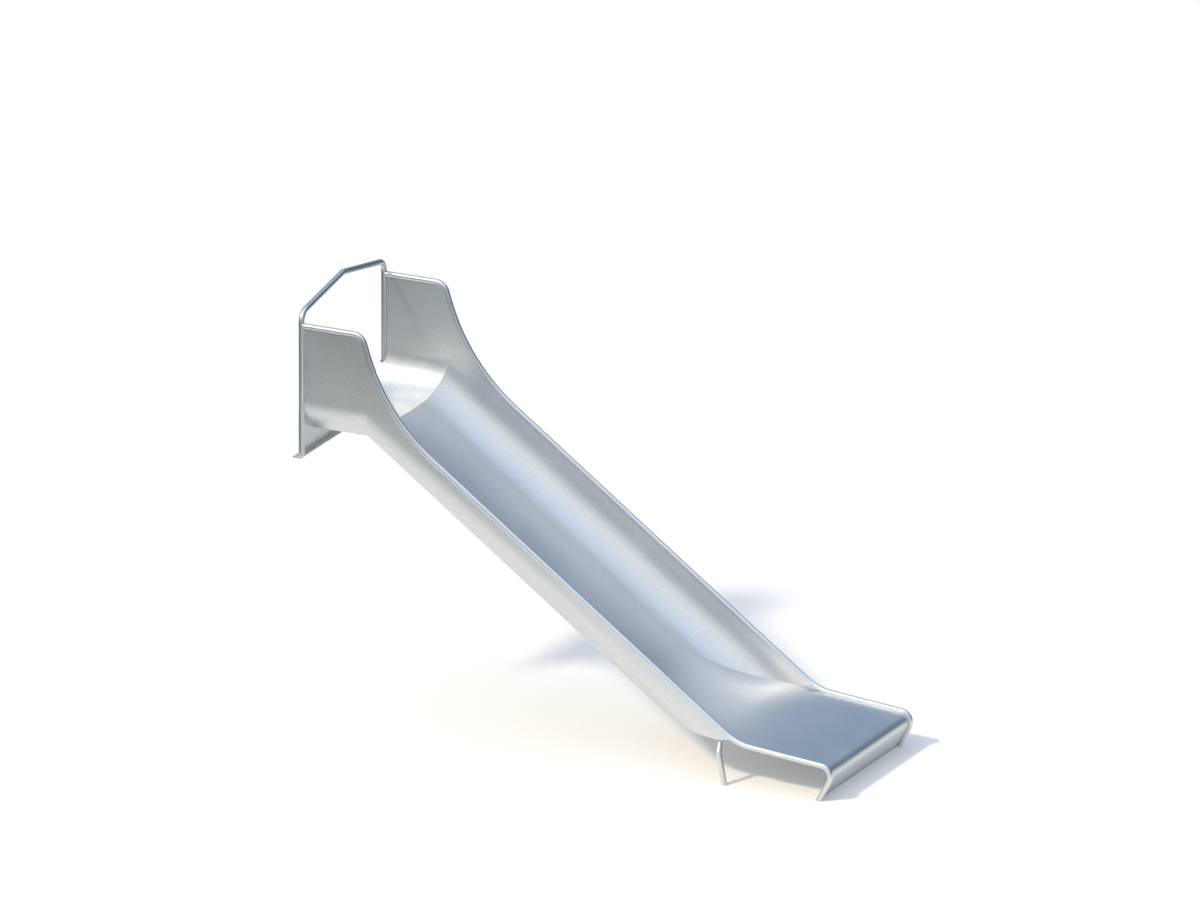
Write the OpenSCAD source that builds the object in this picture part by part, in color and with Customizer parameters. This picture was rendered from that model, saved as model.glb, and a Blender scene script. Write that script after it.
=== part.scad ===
// Wide stainless playground slide that hangs from a platform edge.
// Frame: +X runs downhill, +Z is up, Y = 0 is the middle plane.
// Origin: underside of the head foot plate, between the two posts, on their line.

/* [Tubes] */
// Outside diameter of every tube
tube_d = 32; // [25:1:42]
// Wall of every tube
tube_t = 2; // [1.5:0.5:4]

/* [Sheet] */
// Thickness of the trough, cheek and run-out sheet
sheet_t = 2.5; // [1.5:0.5:4]
// Clear width between the two rim tubes
clear_w = 1000; // [700:10:1200]
// Inside radius between the floor and the walls
corner_r = 210; // [150:5:235]
// Gap left for the weld between parts that meet edge to face
weld_gap = 0.2; // [0.1:0.1:0.4]

/* [Head] */
// Height of the top rail's centre above the ground
rail_h = 2330; // [2200:10:2450]
// Height of the top rail's centre above the foot plate's underside
head_h = 778; // [760:2:860]
// Depth of the start floor below the top rail's centre
start_depth = 658; // [600:2:680]
// Length of the level rail from the post to its corner
rail_l = 382; // [330:2:430]
// Bend radius of the rail's corner
rail_bend_r = 70; // [50:5:90]
// Angle at which the rail drops behind its corner
rail_drop = 72; // [66:1:76]
// Radius of the long sweep from the drop into the straight rim
rail_sweep_r = 1130; // [800:10:1200]
// Part of that sweep, at its lower end, that needs no cheek plate, in degrees
cheek_end = 6; // [4:0.5:9]

/* [Hoop bar] */
// Height of the hoop's shoulder corner above the rail's centre
shoulder_h = 75; // [75:1:120]
// Height of the hoop's peak above the rail's centre
peak_h = 165; // [140:1:260]
// Bend radius of the hoop's shoulder
hoop_bend_r = 70; // [50:5:70]

/* [Chute] */
// Slope of the rim and of the sliding floor, in degrees
slope = 36; // [34:0.5:38]
// Depth of the sliding floor below the rim's centre, square to the slope
trough_depth = 262; // [240:2:280]
// Distance from the posts to the corner between rim and run-out
runout_x = 2746; // [2700:2:2800]

/* [Run-out] */
// Height of that corner above the ground
runout_h = 257; // [240:1:300]
// Length of the run-out, level, from that corner to the nose corner
runout_l = 620; // [500:5:800]
// Fall of the run-out, in degrees
runout_slope = 5; // [3:0.5:8]
// Radius of the sweep from the sliding floor into the run-out
runout_sweep_r = 1000; // [900:10:1100]
// Bend radius of the edge tube where rim and run-out meet
edge_bend_r = 320; // [200:10:400]
// Depth of the run-out sheet's top below the edge tube's centre
sheet_sink = 4; // [2:0.5:8]
// Bend radius of the nose
nose_r = 60; // [50:2:80]
// Lean of the nose's return from upright, in degrees
nose_lean = 28; // [15:1:35]

/* [Legs] */
// Distance from the foot of a leg on to the corner between rim and run-out
leg_back = 79; // [56:1:106]
// Lean of a leg from upright, back towards the head, in degrees
leg_lean = 11; // [5:1:15]
// Length of a leg from the ground to its knee
leg_knee = 187; // [170:1:195]
// Angle by which a leg turns inwards above its knee
leg_turn = 35; // [25:1:40]
// Bend radius of the knee
leg_bend_r = 45; // [40:1:60]
// Side of the square pad between a leg and the sheet
pad_w = 84; // [70:2:100]
// Thickness of that pad
pad_t = 4; // [3:0.5:6]
// Thickness of the disc that closes a tube's foot
cap_t = 3; // [2:0.5:5]

/* [Foot plate and panel] */
// Width of the foot plate
plate_w = 50; // [45:1:80]
// Thickness of the foot plate
plate_t = 6; // [4:1:12]
// Length of foot plate that stands out past each post
plate_ear = 34; // [30:1:60]
// Thickness of the panel that closes the head below the trough
panel_t = 4; // [3:0.5:6]
// Height of the panel's horns above the start floor's underside
panel_horn = 140; // [60:5:150]
// Diameter of the bolt holes in the foot plate
bolt_d = 11; // [9:0.5:14]
// Distance between the two inner bolt holes
bolt_pitch = 500; // [300:10:600]

/* [Stiffeners] */
// Width of the channels welded under the floors
channel_w = 40; // [30:1:60]
// Height of those channels
channel_h = 20; // [15:1:30]
// Wall of those channels
channel_t = 3; // [2:0.5:4]
// Distance that a channel's end keeps from the bend of the trough
channel_end = 14; // [5:1:40]

/* [Hidden] */
$fn = 64;

// Facets of a long, slow bend, of the troughs' round corners, and a side view's points
sweep_fn = 360;
corner_fn = 180;
bend_n = 24;
// Number of channels under the sliding floor
channel_n = 3;
// How far a straight laps over a bend's end, and how far in the bend's faces lie there
lap = 1;
seat = 0.1;
// How far a cut goes past the face that it opens
cut_over = 1;
// A length longer than anything on the part
far = 4000;
steel_tube = [0.74, 0.77, 0.80];
steel_sheet = [0.62, 0.66, 0.69];
steel_plate = [0.55, 0.58, 0.59];

tube_r = tube_d / 2;
// Distance from a tube's centre at which a sheet or a cut end stops
tube_stop = tube_r + weld_gap;
// Half of the distance between the left and the right tubes' centres
half_w = (clear_w + tube_d) / 2;

rail_z = head_h;
ground_z = head_h - rail_h;

// Corner between the rim and the run-out, on the tube's centre
end_p = [runout_x, ground_z + runout_h];
// Corner of the nose, on the tube's centre
nose_p = [runout_x + runout_l, end_p[1] - runout_l * tan(runout_slope)];
// Corner of the rail, and the corner between its drop and the rim
rail_p = [rail_l, rail_z];
drop_x = (rail_z + rail_l * tan(rail_drop) - end_p[1] - runout_x * tan(slope))
    / (tan(rail_drop) - tan(slope));
drop_p = [drop_x, end_p[1] + (runout_x - drop_x) * tan(slope)];

// How far each bend's ends lie from its corner
rail_tan = rail_bend_r * tan(rail_drop / 2);
sweep_tan = rail_sweep_r * tan((rail_drop - slope) / 2);
edge_tan = edge_bend_r * tan((slope - runout_slope) / 2);
nose_turn = 90 + nose_lean - runout_slope;
nose_tan = nose_r * tan(nose_turn / 2);
runout_tan = runout_sweep_r * tan((slope - runout_slope) / 2);

// Directions in the side view: along a line that falls by a degrees, and square below it
function along(a) = [cos(a), -sin(a)];
function below(a) = [-sin(a), -cos(a)];

rim_p = drop_p + sweep_tan * along(slope);
edge_p = end_p - edge_tan * along(slope);
rim_l = norm(edge_p - rim_p);

// Paths: [length] is a straight, [angle, radius] is a bend, positive where it turns down
head_path = [
    [rail_l - rail_tan],
    [rail_drop, rail_bend_r],
    [norm(drop_p - rail_p) - rail_tan - sweep_tan],
    [slope - rail_drop, rail_sweep_r],
];
return_l = (nose_p[1] - ground_z) / cos(nose_lean) - nose_tan;
edge_path = [
    [runout_slope - slope, edge_bend_r],
    [norm(nose_p - end_p) - edge_tan - nose_tan],
    [nose_turn, nose_r],
    [return_l + tube_d],
];

// Middle of the run-out sheet: how far it lies below the tubes' centre lines
chute_mid = trough_depth + sheet_t / 2;
runout_mid = sheet_sink + sheet_t / 2;
runout_turn = slope - runout_slope;
// Where the sliding floor's line and the run-out's line cross, counted from end_p
cross_l = (runout_mid * cos(runout_turn) - chute_mid) / sin(runout_turn);
cross_p = end_p + runout_mid * below(runout_slope) + cross_l * along(runout_slope);
sweep_p = cross_p - runout_tan * along(slope);

// Trough section
shell_half = half_w + sheet_t / 2;
shell_r = corner_r + sheet_t;
flat_half = shell_half - shell_r;
wall_h = trough_depth + sheet_t - tube_stop;
start_z = rail_z - start_depth - sheet_t;
seam_z = start_z + wall_h;
// Mitre between the start floor and the sliding floor, on their undersides
mitre_l = (end_p[1] - (trough_depth + sheet_t) * cos(slope) - start_z) / sin(slope);
mitre_p = end_p + (trough_depth + sheet_t) * below(slope) + mitre_l * along(slope);
// Top edge of the walls at the mitre, and the cheek's own corner just above it
wall_p = mitre_p + wall_h / cos(slope / 2) * [sin(slope / 2), cos(slope / 2)];
seam_p = wall_p + weld_gap / cos(slope / 2) * [sin(slope / 2), cos(slope / 2)];
// Angle of the sweep where the cheek ends, and the cheek's lowest corner
cheek_stop = slope + cheek_end;
cheek_l = (rail_sweep_r + tube_stop) * sin(cheek_end);
cheek_p = rim_p + (tube_stop - weld_gap) * below(slope) - cheek_l * along(slope);

panel_x = -tube_stop;
head_back = panel_x - panel_t;
plate_x = tube_r - plate_w;
ear_y = half_w + tube_r + plate_ear / 2;

// Run-out's underside, and the pads' lower face, below the tubes' centre line
runout_under = sheet_sink + sheet_t;
// A leg's foot, and where its centre line meets its pad
leg_x = runout_x - leg_back;
leg_up = leg_knee * cos(leg_lean);
pad_drop = runout_under + pad_t;
leg_knee_p = [leg_x - leg_knee * sin(leg_lean), ground_z + leg_up];
// Height of the pad's lower face above the knee, on the leg's own line
pad_gap = end_p[1] + (runout_x - leg_knee_p[0]) * tan(runout_slope)
    - pad_drop / cos(runout_slope) - leg_knee_p[1];
leg_rise = cos(leg_turn) * (cos(leg_lean) - sin(leg_lean) * tan(runout_slope));
leg_top_l = pad_gap / leg_rise;
leg_in = leg_top_l * sin(leg_turn);
pad_x = leg_knee_p[0] - leg_top_l * cos(leg_turn) * sin(leg_lean);
pad_y = half_w - leg_in;
// The pad's centre, counted along the run-out's line from end_p
pad_l = (pad_x - runout_x) / cos(runout_slope) + pad_drop * sin(runout_slope);
leg_knee_tan = leg_bend_r * tan(leg_turn / 2);

// Draws a section along a path; the path starts along +Z and bends in XZ.
// The first child is drawn along straights, the second one round bends.
// The section's X points to the side that a positive bend turns to.
// A straight laps over the ends of the bends next to it.
module run(path, k = 0) {
    if (k < len(path)) {
        step = path[k];
        side = len(step) == 1 ? 0 : sign(step[0]);
        if (side == 0) {
            before = k > 0 ? lap : 0;
            after = k < len(path) - 1 ? lap : 0;
            translate([0, 0, -before])
                linear_extrude(height = step[0] + before + after) children(0);
            translate([0, 0, step[0]]) run(path, k + 1) {
                children(0);
                children(1);
            }
        } else {
            translate([side * step[1], 0, 0]) {
                rotate([90, 0, side > 0 ? 180 : 0])
                    rotate_extrude(angle = abs(step[0]), $fn = sweep_fn)
                        translate([step[1], 0])
                            mirror([side > 0 ? 1 : 0, 0]) children(1);
                rotate([0, step[0], 0]) translate([-side * step[1], 0, 0]) run(path, k + 1) {
                    children(0);
                    children(1);
                }
            }
        }
    }
}

// Ring of a tube, drawn in by an inset on both of its faces
module ring(inset) {
    difference() {
        circle(tube_r - inset);
        circle(tube_r - tube_t + inset);
    }
}

module tube_run(path) {
    run(path) {
        ring(0);
        ring(seat);
    }
}

module rod_run(path, r) {
    run(path) {
        circle(r);
        circle(r - seat);
    }
}

// Puts what follows at a side-view point, with +Z along a line that falls by a degrees
module lay(p, a) {
    translate([p[0], 0, p[1]]) rotate([0, 90 + a, 0]) children();
}

// Side: 1 is the tube on a rider's left, -1 the one on the right
module on_side(side) {
    translate([0, side * half_w, 0]) children();
}

module above_ground() {
    difference() {
        children();
        translate([0, -far / 2, ground_z - far]) cube([far, far, far]);
    }
}

// Side-view outline, given as X and Z, made as thick as w about the middle plane
module slab(w) {
    rotate([90, 0, 0]) linear_extrude(height = w, center = true) children();
}

// Points round a bend whose corner is p, turning from a to b degrees of fall.
// They lie o below the bend's own line of radius r, from angle q0 to q1.
function bend(p, a, b, r, o, q0, q1) =
    let (s = sign(b - a), c = p - r * tan(abs(b - a) / 2) * along(a) + s * r * below(a))
    [for (k = [0:bend_n]) c - s * (r - s * o) * below(q0 + (q1 - q0) * k / bend_n)];

// Side view of a cheek: the rail above, the trough's wall below
module cheek_side() {
    polygon(concat(
        [[tube_stop, rail_z - tube_stop]],
        bend(rail_p, 0, rail_drop, rail_bend_r, tube_stop, 0, rail_drop),
        bend(drop_p, rail_drop, slope, rail_sweep_r, tube_stop, rail_drop, cheek_stop),
        [cheek_p, seam_p, [tube_stop, seam_p[1]]]
    ));
}

// Side view of the ground that the sliding trough fills, down past its floor
module chute_side() {
    polygon(concat(
        [wall_p - far * along(slope), cheek_p + weld_gap * (along(slope) + below(slope))],
        [for (p = bend(drop_p, rail_drop, slope, rail_sweep_r, tube_stop, cheek_stop, slope))
            p + weld_gap * along(slope)],
        bend(end_p, slope, runout_slope, edge_bend_r, tube_stop, slope, runout_slope),
        [end_p + far * along(runout_slope), [end_p[0], end_p[1] - far],
            [wall_p[0] - far, end_p[1] - far]]
    ));
}

// Side view of what lies below the run-out sheet, from where its sweep starts
module under_runout() {
    polygon(concat(
        [sweep_p + sheet_t * below(slope) - weld_gap * along(slope)],
        bend(cross_p, slope, runout_slope, runout_sweep_r, sheet_t / 2, slope, runout_slope),
        [end_p + runout_under * below(runout_slope) + runout_l * along(runout_slope),
            [nose_p[0], ground_z], [sweep_p[0] - trough_depth, ground_z]]
    ));
}

// Side view of the run-out sheet, carried on below the ground
module runout_side() {
    low = 90 + nose_lean;
    over = bend(cross_p, slope, runout_slope, runout_sweep_r, -sheet_t / 2, slope, runout_slope);
    under = bend(cross_p, slope, runout_slope, runout_sweep_r, sheet_t / 2, slope, runout_slope);
    over_nose = bend(nose_p, runout_slope, low, nose_r, sheet_sink, runout_slope, low);
    under_nose = bend(nose_p, runout_slope, low, nose_r, runout_under, runout_slope, low);
    back = (return_l + tube_d) * along(low);
    rear = concat(under, under_nose, [under_nose[bend_n] + back]);
    polygon(concat(over, over_nose, [over_nose[bend_n] + back],
        [for (k = [len(rear) - 1:-1:0]) rear[k]]));
}

// Solid trough section, from the height up to the floor, X pointing down.
// It is the outside of the sheet less an inset.
module trough_solid(floor_x, up, inset) {
    r = shell_r - inset;
    f = floor_x - inset;
    half = shell_half - inset;
    translate([-up, -half]) square([up + f - r, 2 * half]);
    translate([-up, r - half]) square([up + f, 2 * (half - r)]);
    for (s = [-1, 1]) translate([f - r, s * (half - r)]) circle(r, $fn = corner_fn);
}

// Section of the sheet, its walls ending at the height up
module trough_section(floor_x, up) {
    intersection() {
        difference() {
            trough_solid(floor_x, up, 0);
            trough_solid(floor_x, up + cut_over, sheet_t);
        }
        translate([-up, -far / 2]) square([far, far]);
    }
}

// Half spaces on the downhill and on the uphill side of the mitre
module past_mitre() {
    translate([mitre_p[0], 0, mitre_p[1]]) rotate([0, slope / 2, 0])
        translate([0, -far / 2, -far / 2]) cube([far, far, far]);
}

module before_mitre() {
    translate([mitre_p[0], 0, mitre_p[1]]) rotate([0, slope / 2, 0])
        translate([-far, -far / 2, -far / 2]) cube([far, far, far]);
}

// One bent tube: post, shoulder and half of the hoop bar, mitred at the peak
module post_bar(side) {
    rise = atan((peak_h - shoulder_h) / half_w);
    turn = 90 - rise;
    shoulder_tan = hoop_bend_r * tan(turn / 2);
    bar_l = half_w / cos(rise) - shoulder_tan;
    path = [
        [rail_z + shoulder_h - shoulder_tan - plate_t],
        [turn, hoop_bend_r],
        [bar_l + tube_d],
    ];
    color(steel_tube) difference() {
        on_side(side) translate([0, 0, plate_t]) rotate([0, 0, -90 * side]) tube_run(path);
        translate([-far / 2, side > 0 ? -far : 0, 0]) cube([far, far, far]);
    }
}

// Level rail, corner, drop and sweep, cut to the post's round face
module head_rail(side) {
    color(steel_tube) difference() {
        on_side(side) lay([0, rail_z], 0) tube_run(head_path);
        on_side(side) translate([0, 0, rail_z - far / 2]) cylinder(r = tube_stop, h = far);
    }
}

module rim(side) {
    color(steel_tube) on_side(side) lay(rim_p, slope) linear_extrude(height = rim_l) ring(0);
}

// Edge of the run-out: bend, straight, nose and the return down to the ground
module runout_edge(side) {
    color(steel_tube) above_ground() on_side(side) lay(edge_p, slope) tube_run(edge_path);
}

// Disc that closes the foot of an edge tube
module edge_cap(side) {
    color(steel_plate) intersection() {
        on_side(side) lay(edge_p, slope) rod_run(edge_path, tube_r - tube_t - weld_gap);
        translate([0, -far / 2, ground_z]) cube([far, far, cap_t]);
    }
}

// Flat plate that fills the side between the trough's wall and the rail
module cheek(side) {
    color(steel_sheet) on_side(side) slab(sheet_t) cheek_side();
}

// Level trough of the start, cut back at the posts
module start_trough() {
    color(steel_sheet) difference() {
        lay([head_back, seam_z], 0) linear_extrude(height = wall_p[0] + wall_h - head_back)
            trough_section(wall_h, 0);
        past_mitre();
        for (side = [-1, 1]) on_side(side)
            translate([tube_stop - far, -tube_stop, start_z]) cube([far, 2 * tube_stop, far]);
    }
}

// Sliding trough: its floor ends where the run-out's sweep starts, its walls run on
module chute_trough() {
    color(steel_sheet) difference() {
        intersection() {
            lay(end_p + (mitre_l - trough_depth) * along(slope), slope)
                linear_extrude(height = trough_depth - mitre_l)
                    trough_section(trough_depth + sheet_t, tube_d);
            slab(far) chute_side();
        }
        before_mitre();
        slab(far) under_runout();
        lay(sweep_p, slope) translate([-sheet_t, -flat_half - weld_gap, 0])
            cube([far, 2 * (flat_half + weld_gap), far]);
    }
}

// Run-out: sweep, flat, rounded nose and the apron down to the ground
module runout_sheet() {
    color(steel_sheet) above_ground() difference() {
        intersection() {
            slab(2 * (half_w - weld_gap) - sheet_t) runout_side();
            // Inside of the sliding trough, open below its flat floor
            lay(end_p - far / 2 * along(slope), slope) linear_extrude(height = far) {
                trough_solid(trough_depth + sheet_t, far / 2, sheet_t + weld_gap);
                translate([0, -flat_half]) square([far / 2, 2 * flat_half]);
            }
        }
        for (side = [-1, 1]) on_side(side) {
            lay(rim_p, slope) cylinder(r = tube_stop, h = rim_l + lap);
            lay(edge_p, slope) rod_run(edge_path, tube_stop);
        }
    }
}

// Panel behind the posts, from the foot plate up to the trough's underside
module head_panel() {
    color(steel_sheet) translate([head_back, 0, 0]) rotate([90, 0, 90])
        linear_extrude(height = panel_t) difference() {
            translate([-half_w, plate_t]) square([2 * half_w, start_z + panel_horn - plate_t]);
            translate([0, start_z]) rotate([0, 0, -90])
                trough_solid(0, head_h, -weld_gap);
        }
}

// Flat bar under both posts and the panel, with four bolt holes on the posts' line
module foot_plate() {
    color(steel_plate) difference() {
        translate([plate_x, -half_w - tube_r - plate_ear, 0])
            cube([plate_w, 2 * (half_w + tube_r + plate_ear), plate_t]);
        for (y = [-ear_y, -bolt_pitch / 2, bolt_pitch / 2, ear_y])
            translate([0, y, -cut_over]) cylinder(d = bolt_d, h = plate_t + 2 * cut_over);
    }
}

// Puts what follows below a leg's foot, with +Z up the leg and +X inwards
module leg_foot(side) {
    on_side(side) translate([leg_x, 0, ground_z]) rotate([0, -leg_lean, 0])
        rotate([0, 0, -90 * side]) translate([0, 0, -tube_d]) children();
}

// Bent leg, cut level at the ground and flush at its pad
module leg(side) {
    path = [
        [leg_knee + tube_d - leg_knee_tan],
        [leg_turn, leg_bend_r],
        [leg_top_l + tube_d - leg_knee_tan],
    ];
    color(steel_tube) above_ground() difference() {
        leg_foot(side) tube_run(path);
        lay(end_p, runout_slope) translate([pad_drop - far, -far / 2, -far / 2])
            cube([far, far, far]);
    }
}

module leg_cap(side) {
    color(steel_plate) intersection() {
        leg_foot(side) cylinder(r = tube_r - tube_t - weld_gap, h = 2 * tube_d);
        translate([0, -far / 2, ground_z]) cube([far, far, cap_t]);
    }
}

// Square pad on the run-out sheet's underside
module leg_pad(side) {
    color(steel_plate) lay(end_p, runout_slope)
        translate([runout_under, side * pad_y - pad_w / 2, pad_l - pad_w / 2])
            cube([pad_t, pad_w, pad_w]);
}

// Channel with its open side on a floor's underside, along a falling line
module channel(p, a, depth, l, half_l) {
    color(steel_plate) lay(p, a) translate([depth, 0, l]) difference() {
        translate([0, -half_l, -channel_w / 2]) cube([channel_h, 2 * half_l, channel_w]);
        translate([-cut_over, -half_l - cut_over, channel_t - channel_w / 2])
            cube([channel_h - channel_t + cut_over, 2 * (half_l + cut_over),
                channel_w - 2 * channel_t]);
    }
}

module chute_channel(k) {
    floor_l = norm(sweep_p - mitre_p);
    channel(mitre_p, slope, 0, floor_l * k / (channel_n + 1), flat_half - channel_end);
}

module start_channel() {
    channel([0, start_z], 0, 0, mitre_p[0] / 2, flat_half - channel_end);
}

module leg_channel() {
    channel(end_p, runout_slope, runout_under, pad_l, pad_y - pad_w / 2 - weld_gap);
}

module runout_channel() {
    channel(end_p, runout_slope, runout_under, runout_l / 2, flat_half - channel_end);
}

post_bar(1);  // left_post_bar
post_bar(-1);  // right_post_bar
head_rail(1);  // left_head_rail
head_rail(-1);  // right_head_rail
rim(1);  // left_rim
rim(-1);  // right_rim
runout_edge(1);  // left_runout_edge
runout_edge(-1);  // right_runout_edge
cheek(1);  // left_cheek
cheek(-1);  // right_cheek
start_trough();
chute_trough();
runout_sheet();
head_panel();
foot_plate();
leg(1);  // left_leg
leg(-1);  // right_leg
leg_pad(1);  // left_leg_pad
leg_pad(-1);  // right_leg_pad
leg_cap(1);  // left_leg_cap
leg_cap(-1);  // right_leg_cap
edge_cap(1);  // left_edge_cap
edge_cap(-1);  // right_edge_cap
start_channel();
chute_channel(1);  // chute_channel_upper
chute_channel(2);  // chute_channel_middle
chute_channel(3);  // chute_channel_lower
leg_channel();
runout_channel();
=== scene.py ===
"""Looks of a wide stainless playground slide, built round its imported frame.

The frame gives every piece its place. Tubes and curved sheets are drawn again
as smooth meshes from the slide's own sizes; flat plates keep their CAD solids
and get a finish. Lengths are in metres, and angles in degrees unless said.
"""

import logging
import math
from dataclasses import dataclass, field
from enum import Enum
from typing import Sequence

import bmesh
import bpy
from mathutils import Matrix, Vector


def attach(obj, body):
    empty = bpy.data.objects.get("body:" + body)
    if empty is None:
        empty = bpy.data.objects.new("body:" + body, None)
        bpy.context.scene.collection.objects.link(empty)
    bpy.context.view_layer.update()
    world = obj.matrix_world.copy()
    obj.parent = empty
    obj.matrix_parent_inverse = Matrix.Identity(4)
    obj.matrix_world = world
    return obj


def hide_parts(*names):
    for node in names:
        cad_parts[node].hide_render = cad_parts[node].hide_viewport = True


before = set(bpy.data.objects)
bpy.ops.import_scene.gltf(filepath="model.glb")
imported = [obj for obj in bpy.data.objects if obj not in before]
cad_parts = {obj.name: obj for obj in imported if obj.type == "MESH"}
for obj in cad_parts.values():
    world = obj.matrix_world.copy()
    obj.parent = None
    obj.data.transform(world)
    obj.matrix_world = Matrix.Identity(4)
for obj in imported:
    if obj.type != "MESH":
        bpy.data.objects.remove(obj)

log = logging.getLogger("slide")

Point2 = tuple[float, float]
Point3 = tuple[float, float, float]
Colour = tuple[float, float, float]
Stops = tuple[tuple[float, Colour], ...]
Face = tuple[int, ...]
Patch = tuple[list[Vector], list[Face]]
Cut = tuple[Vector, Vector]
Socket = bpy.types.NodeSocket
Values = dict[str | int, object]

BODY = "root"
UP = Vector((0.0, 0.0, 1.0))
SAME_POINT = 1e-5
CRISP_ANGLE = 35.0


class Side(Enum):
    """Which side of the slide a piece is on, as a rider sees it."""

    LEFT = 1
    RIGHT = -1

    @property
    def word(self) -> str:
        """The word that starts the names of this side's nodes."""
        return self.name.lower()

    @property
    def inward(self) -> Vector:
        """Unit step towards the middle plane."""
        return Vector((0.0, -self.value, 0.0))


class Grain(Enum):
    """How a surface's fine grain lies."""

    EVEN = "even"
    RINGS = "rings"


def along(angle: float) -> Vector:
    """Unit step down a line that falls by an angle, in the side view (x, z)."""
    return Vector((math.cos(math.radians(angle)), -math.sin(math.radians(angle))))


def below(angle: float) -> Vector:
    """Unit step square to that line, downwards, in the side view (x, z)."""
    return Vector((-math.sin(math.radians(angle)), -math.cos(math.radians(angle))))


def placed(point: Vector, y: float) -> Vector:
    """A side-view point moved into a plane parallel to the middle one."""
    return Vector((point.x, y, point.y))


def steps(first: float, last: float, count: int) -> list[float]:
    """Even steps from one value to another, both included."""
    return [first + (last - first) * k / count for k in range(count + 1)]


@dataclass(frozen=True)
class Slide:
    """The slide's driving sizes and the points that follow from them."""

    tube_r: float = 0.016
    tube_wall: float = 0.002
    sheet: float = 0.0025
    gap: float = 0.0002
    half_width: float = 0.516
    corner_r: float = 0.210
    rail_height: float = 0.778
    rail_above_ground: float = 2.330
    start_depth: float = 0.658
    rail_length: float = 0.382
    rail_bend: float = 0.070
    rail_drop: float = 72.0
    rail_sweep: float = 1.130
    shoulder: float = 0.075
    peak: float = 0.165
    hoop_bend: float = 0.070
    slope: float = 36.0
    trough_depth: float = 0.262
    runout_x: float = 2.746
    runout_height: float = 0.257
    runout_length: float = 0.620
    runout_slope: float = 5.0
    runout_sweep: float = 1.000
    edge_bend: float = 0.320
    sheet_sink: float = 0.004
    nose_bend: float = 0.060
    nose_lean: float = 28.0
    leg_x: float = 2.667
    leg_lean: float = 11.0
    leg_knee: float = 0.187
    leg_turn: float = 35.0
    leg_bend: float = 0.045
    pad: float = 0.004
    plate: float = 0.006
    head_back: float = -0.0202

    @property
    def ground(self) -> float:
        """Height of the ground."""
        return self.rail_height - self.rail_above_ground

    @property
    def stop(self) -> float:
        """Distance from a tube's centre at which a sheet ends."""
        return self.tube_r + self.gap

    @property
    def turn(self) -> float:
        """Turn from the chute's slope to the run-out's, in radians."""
        return math.radians(self.slope - self.runout_slope)

    @property
    def apron_fall(self) -> float:
        """Fall of the nose's return to the ground, past upright."""
        return 90 + self.nose_lean

    @property
    def hoop_peak(self) -> Vector:
        """Peak of the hoop bar, on its centre."""
        return Vector((0.0, 0.0, self.rail_height + self.peak))

    @property
    def end(self) -> Vector:
        """Corner between rim and run-out, on the tube's centre."""
        return Vector((self.runout_x, self.ground + self.runout_height))

    @property
    def nose(self) -> Vector:
        """Corner of the nose, on the tube's centre."""
        fall = self.runout_length * math.tan(math.radians(self.runout_slope))
        return Vector((self.runout_x + self.runout_length, self.end.y - fall))

    @property
    def foot(self) -> Vector:
        """Point where the nose's return meets the ground, on the tube's centre."""
        back = (self.nose.y - self.ground) * math.tan(math.radians(self.nose_lean))
        return Vector((self.nose.x - back, self.ground))

    @property
    def rail_corner(self) -> Vector:
        """Corner of the level rail, on the tube's centre."""
        return Vector((self.rail_length, self.rail_height))

    @property
    def drop_corner(self) -> Vector:
        """Corner between the rail's drop and the straight rim.

        Returns:
            The side-view point, on the tube's centre.
        """
        steep = math.tan(math.radians(self.rail_drop))
        flat = math.tan(math.radians(self.slope))
        height = self.rail_height + self.rail_length * steep
        x = (height - self.end.y - self.runout_x * flat) / (steep - flat)
        return Vector((x, self.end.y + (self.runout_x - x) * flat))

    @property
    def rim_start(self) -> Vector:
        """Point where the rail's long sweep ends and the straight rim starts."""
        turn = math.radians(self.rail_drop - self.slope) / 2
        return self.drop_corner + self.rail_sweep * math.tan(turn) * along(self.slope)

    @property
    def edge_tangent(self) -> float:
        """Distance from the end corner to where the edge tube's bend starts."""
        return self.edge_bend * math.tan(self.turn / 2)

    @property
    def edge_start(self) -> Vector:
        """Point where the rim ends and the run-out's edge tube starts."""
        return self.end - self.edge_tangent * along(self.slope)

    @property
    def mid_floor(self) -> float:
        """Depth of the middle of the sliding sheet below the rim's line."""
        return self.trough_depth + self.sheet / 2

    @property
    def mid_runout(self) -> float:
        """Depth of the middle of the run-out sheet below the edge tube's line."""
        return self.sheet_sink + self.sheet / 2

    @property
    def crossing(self) -> Vector:
        """Point where the lines of sliding floor and run-out cross.

        Returns:
            The side-view point, in mid sheet.
        """
        run = (self.mid_runout * math.cos(self.turn) - self.mid_floor) / math.sin(self.turn)
        start = self.end + self.mid_runout * below(self.runout_slope)
        return start + run * along(self.runout_slope)

    @property
    def sweep_start(self) -> Vector:
        """Point where the run-out's sweep leaves the sliding floor, in mid sheet."""
        return self.crossing - self.runout_sweep * math.tan(self.turn / 2) * along(self.slope)

    @property
    def start_floor(self) -> float:
        """Height of the start floor's underside."""
        return self.rail_height - self.start_depth - self.sheet

    @property
    def start_line(self) -> float:
        """Height from which the start trough's depths are counted."""
        return self.start_floor + self.trough_depth + self.sheet

    @property
    def mitre_run(self) -> float:
        """Place of the mitre's lowest point along the chute.

        Returns:
            The distance from the end corner, which is negative up the chute.
        """
        lean = math.radians(self.slope)
        deep = (self.trough_depth + self.sheet) * math.cos(lean)
        return (self.end.y - deep - self.start_floor) / math.sin(lean)

    def plane(self, side: Side) -> float:
        """Y of a side's tubes."""
        return side.value * self.half_width

    def mitre_at(self, depth: float) -> float:
        """Place of the mitre along the chute, at a depth below the rim's line."""
        rise = self.trough_depth + self.sheet - depth
        return self.mitre_run - rise * math.tan(math.radians(self.slope / 2))

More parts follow.
